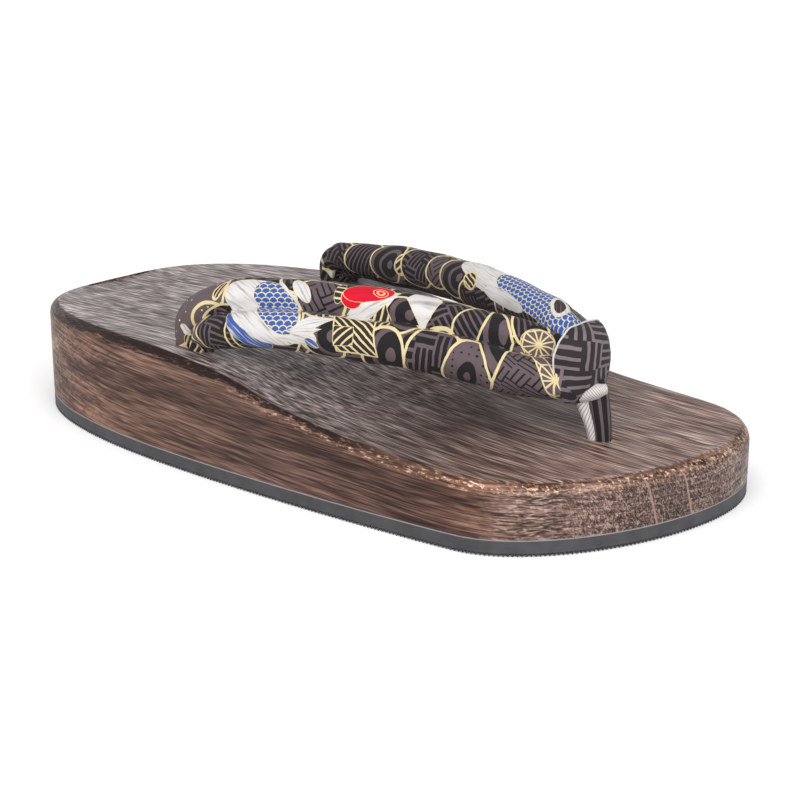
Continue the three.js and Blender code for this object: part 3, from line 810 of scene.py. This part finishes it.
# Scales: rows of round blue scales with cream edges. Each row lies half a scale along the next and
# over it.
scale_pitch = 2.5
scale_radius = 0.62 * scale_pitch
row_rise = 0.66 * scale_pitch
scale_rows = []
for share in (0, 0.5):
    row_start = (scale_pitch * share, row_rise * 2 * share, 0)
    moved = add_node(tree, "VectorMath", {0: cloth, 1: row_start}, operation="SUBTRACT")
    half = (scale_pitch / 2, row_rise, 0.5)
    wrapped = add_node(tree, "VectorMath", {0: moved.outputs[0], 1: half,
                                            2: tuple(-edge for edge in half)}, operation="WRAP")
    scale_rows.append(wrapped.outputs[0])
first_reach, second_reach = [
    add_node(tree, "VectorMath", {0: scale_row}, operation="LENGTH").outputs["Value"]
    for scale_row in scale_rows
]
first_parts = add_node(tree, "SeparateXYZ", {0: scale_rows[0]})
first_over = add_node(tree, "Math", {0: first_parts.outputs["Y"], 1: 0}, operation="GREATER_THAN")
over = add_node(tree, "Mix", {0: first_over.outputs[0], 2: second_reach, 3: first_reach})
under = add_node(tree, "Mix", {0: first_over.outputs[0], 2: first_reach, 3: second_reach})
covered = add_node(tree, "Math", {0: over.outputs[0], 1: scale_radius}, operation="LESS_THAN")
scale_reach = add_node(tree, "Mix", {0: covered.outputs[0], 2: under.outputs[0], 3: over.outputs[0]})
scales = add_node(tree, "Math", {0: scale_reach.outputs[0], 1: 0.76 * scale_radius},
                  operation="LESS_THAN").outputs[0]

# White figures: pale, with faint lines that run one way.
fold_size = (14, 1.6, 1)
fold_place = add_node(tree, "VectorMath", {0: local.outputs[0], 1: fold_size}, operation="DIVIDE")
fold_lines = add_node(tree, "TexNoise", {"Vector": fold_place.outputs[0], "Scale": 1, "Detail": 2})
fold = add_node(tree, "MapRange", {"Value": fold_lines.outputs["Fac"], "From Min": 0.5,
                                   "From Max": 0.68}).outputs[0]

taupe = linear("#55494c")
dark = linear("#2a2425")
ink = linear("#1a1617")
gold = linear("#c4b48a")
cream = linear("#bfb8a2")
pale = linear("#c0bdbb")
blue = linear("#34508e")
red = linear("#bc0626")
looks = {
    "bars": (bars, taupe, ink),
    "rails": (bar_of[0], taupe, ink),
    "swirl": (swirl, taupe, ink),
    "fret": (fret, taupe, ink),
    "dots": (dots, taupe, ink),
    "gold_dots": (gold_dots, taupe, gold),
    "loop_bars": (bars, linear("#6a5f63"), linear("#272325")),
    "stripes": (stripes, dark, gold),
    "star": (star, taupe, gold),
    "gold_lines": (line_of[0], dark, gold),
    "plain": (fold, dark, taupe),
    "white": (fold, pale, linear("#8f8a8b")),
    "hatched": (stripes, pale, linear("#8a7f78")),
    "scales": (scales, cream, blue),
    "blue": (fold, blue, pale),
    "red": (fold, red, linear("#a2041f")),
    "peach": (peach_rings, red, linear("#d89a76")),
}
print_colour = taupe
for number, motif in enumerate(motifs):
    mask, ground, figure = looks[motif]
    fill = add_node(tree, "Mix", {0: mask, 6: ground, 7: figure}, data_type="RGBA")
    chosen = add_node(tree, "Math", {0: motif_number, 1: number, 2: 0.4}, operation="COMPARE")
    print_colour = add_node(tree, "Mix", {0: chosen.outputs[0], 6: print_colour, 7: fill.outputs[2]},
                            data_type="RGBA").outputs[2]
rim_share = add_node(tree, "Math", {0: 1, 1: away_of}, operation="SUBTRACT")
to_rim = add_node(tree, "Math", {0: rim_share.outputs[0], 1: patch_radius}, operation="MULTIPLY")
figured = add_node(tree, "Math", {0: motif_number, 1: motifs.index("star") - 0.5},
                   operation="GREATER_THAN")
rim_width = add_node(tree, "MapRange", {"Value": figured.outputs[0], "To Min": round_rim,
                                        "To Max": figure_rim})
on_rim = add_node(tree, "Math", {0: to_rim.outputs[0], 1: rim_width.outputs[0]}, operation="LESS_THAN")
printed = add_node(tree, "Mix", {0: on_rim.outputs[0], 6: print_colour, 7: gold}, data_type="RGBA")
pebble = add_node(tree, "TexNoise", {"Vector": in_mm.outputs[0], "Scale": 1 / pebble_size, "Detail": 3})
pebble_bump = add_node(tree, "Bump", {"Height": pebble.outputs["Fac"], "Strength": 0.35,
                                      "Distance": 0.25 * mm})
set_inputs(shader, {"Base Color": printed.outputs[2], "Normal": pebble_bump.outputs[0], "Roughness": 0.82,
                    "IOR": 1.45, "Specular IOR Level": 0.25, "Sheen Weight": 0.04, "Sheen Roughness": 0.5})
finish_piece(straps, "straps", "hanao_straps", crepe)


# Toe loop
# A band of the same cloth, wrapped round the meeting of the straps and gathered below it into
# two legs that go down through the front hole.

# Each row is a section of the wrap: place, half width and half height. The first is its edge,
# turned in.
wrap_rows = [
    (83.2, 2.5, 44, 12.2, 11.1),
    (81.5, 2.5, 44, 13.4, 12.2),
    (84.5, 2.3, 44.1, 11.8, 11.6),
    (87.5, 2, 44.4, 9.2, 10.2),
    (89.5, 1.8, 44.6, 7, 8.4),
    (90.6, 1.8, 44.7, 4.2, 5.4),
    (90.9, 1.8, 44.7, 0, 0),
]
wrap_middle = (80, 2.3, 44.3)
wrap_reach = 8.5
# Each row of a leg is a place and a radius.
back_leg = [(85.4, 0, 38, 2.6), (86.4, 0, 32, 2.4), (89.2, 0.8, 23, 1.9), (89.8, 1, 13.5, 1.7)]
front_leg = [(88.2, 2.6, 39.5, 3.4), (89.6, 2.6, 33, 3.3), (91.6, 2.3, 24, 2.8), (92, 2.2, 13.5, 2.6)]
leg_fold = [(83.4, -2.2, 33.4, 1.8), (86.8, -1.6, 35.2, 2.6), (90.2, 0.4, 36.6, 2.6), (92, 3, 37, 1.8)]
wrap_power = 2.7
edge_share = 0.6
low_corner = math.radians(218)
low_corner_width = math.radians(42)
low_corner_flare = 0.07
edge_bow = 2.4
low_corner_bow = 3.2
leg_cloth = (14, 8)
hem_points = 33
hem_radius = 0.3


def wrap_place(along, around):
    """The wrap's surface, with soft folds. Its edge lies furthest forward below the outer strap."""
    values = through_rows(wrap_rows, along)
    turn = around * 2 * math.pi
    at_edge = np.clip(1 - along / edge_share, 0, 1)
    below_outside = np.exp(-((turn - low_corner) / low_corner_width) ** 2)
    folds = 1 + 0.015 * np.sin(7 * turn + 2 * along) + 0.01 * np.sin(13 * turn + 1)
    folds += low_corner_flare * at_edge * below_outside
    wide = np.sign(np.cos(turn)) * np.abs(np.cos(turn)) ** (2 / wrap_power) * values[:, 3] * folds
    high = np.sign(np.sin(turn)) * np.abs(np.sin(turn)) ** (2 / wrap_power) * values[:, 4] * folds
    forward = at_edge * (edge_bow * np.abs(np.sin(turn)) + low_corner_bow * below_outside)
    return values[:, :3] + np.column_stack([forward, wide, high])


def wrap_chart(along, around):
    """The wrap's own part of the cloth, spread flat from its outer front corner."""
    spoke = unit(wrap_place(along, around) - np.array(wrap_middle))
    corner = math.sqrt(0.5)
    turn = np.arccos(np.clip((spoke[:, 0] - spoke[:, 1]) * corner, -1, 1))
    flat = np.column_stack([(spoke[:, 0] + spoke[:, 1]) * corner, spoke[:, 2]])
    flat /= np.maximum(np.linalg.norm(flat, axis=1), 1e-6)[:, None]
    return np.array([loop_chart, 0]) + wrap_reach * turn[:, None] * flat


def loop_tube(rows, steps, sides, chart_along, twist):
    """A leg, fold or hem through its rows, lightly twisted, on its own part of the cloth."""
    def place_of(along, around):
        values = through_rows(rows, along)
        tangent = along_rows(rows, along)
        first = unit(np.cross(tangent, np.array([0.2, 1, 0.1])))
        side = np.cross(tangent, first)
        turn = around * 2 * math.pi
        radius = values[:, 3] * (1 + 0.08 * np.cos(3 * turn + twist * along))
        spoke = first * np.cos(turn)[:, None] + side * np.sin(turn)[:, None]
        return values[:, :3] + spoke * radius[:, None]

    def chart_of(along, around):
        round_leg = loop_chart + chart_along + leg_cloth[0] * (around - 0.5)
        return np.column_stack([round_leg, leg_cloth[1] * (along - 0.5)])

    return cloth_tube(steps, sides, place_of, chart_of)


hem_turns = np.linspace(0.14, 0.53, hem_points)
hem_rim = wrap_place(np.full(hem_points, 1 / (len(wrap_rows) - 1)), hem_turns)
hem_rows = [(*spot, hem_radius) for spot in hem_rim]
toe_loop = join_parts([
    cloth_tube(60, 64, wrap_place, wrap_chart),
    loop_tube(hem_rows, 96, 10, hem_chart, 0),
    loop_tube(back_leg, 40, 24, hatch_chart, 5),
    loop_tube(front_leg, 40, 24, front_chart, 5),
    loop_tube(leg_fold, 40, 24, hatch_chart, 3),
])
finish_piece(toe_loop, "loop", "toe_loop", crepe)


# Floor and lights
# A plain white studio: a wide pale floor, a white surround, one broad soft light high above the
# camera's side, and a weaker panel off the toe.
bpy.ops.object.select_all(action="DESELECT")
bpy.ops.mesh.primitive_plane_add(size=40)
floor = bpy.context.object
floor.name = "floor"
floor_paint, tree, shader = start_material("white_matt_paint")
set_inputs(shader, {"Base Color": linear("#f4f4f4"), "Roughness": 0.9})
floor.data.materials.append(floor_paint)

world = bpy.data.worlds.new("white_surround")
bpy.context.scene.world = world
world.use_nodes = True
tree = world.node_tree
direction = add_node(tree, "TexCoord")
direction_parts = add_node(tree, "SeparateXYZ", {0: direction.outputs["Generated"]})
dim_above = add_node(tree, "MapRange", {"Value": direction_parts.outputs["Z"], "From Min": 0.3,
                                        "From Max": 0.6, "To Min": 1.15, "To Max": 0.4})
set_inputs(tree.nodes["Background"], {"Color": linear("#ffffff"), "Strength": dim_above.outputs[0]})
bpy.ops.object.light_add(
    type="SUN",
    location=(0.5, -0.8, 1.5),
    rotation=(math.radians(32), 0, math.radians(20)),
)
sky_panel = bpy.context.object
sky_panel.name = "sky_panel"
sky_panel.data.energy = 2.2
sky_panel.data.angle = math.radians(80)
bpy.ops.object.light_add(type="AREA", location=(0.75, -0.45, 0.45))
front_panel = bpy.context.object
front_panel.name = "front_panel"
front_panel.data.size = 0.6
front_panel.data.energy = 4
front_panel.rotation_mode = "QUATERNION"
front_panel.rotation_quaternion = front_panel.location.to_track_quat("Z", "Y")
bpy.context.scene.view_settings.view_transform = "Standard"
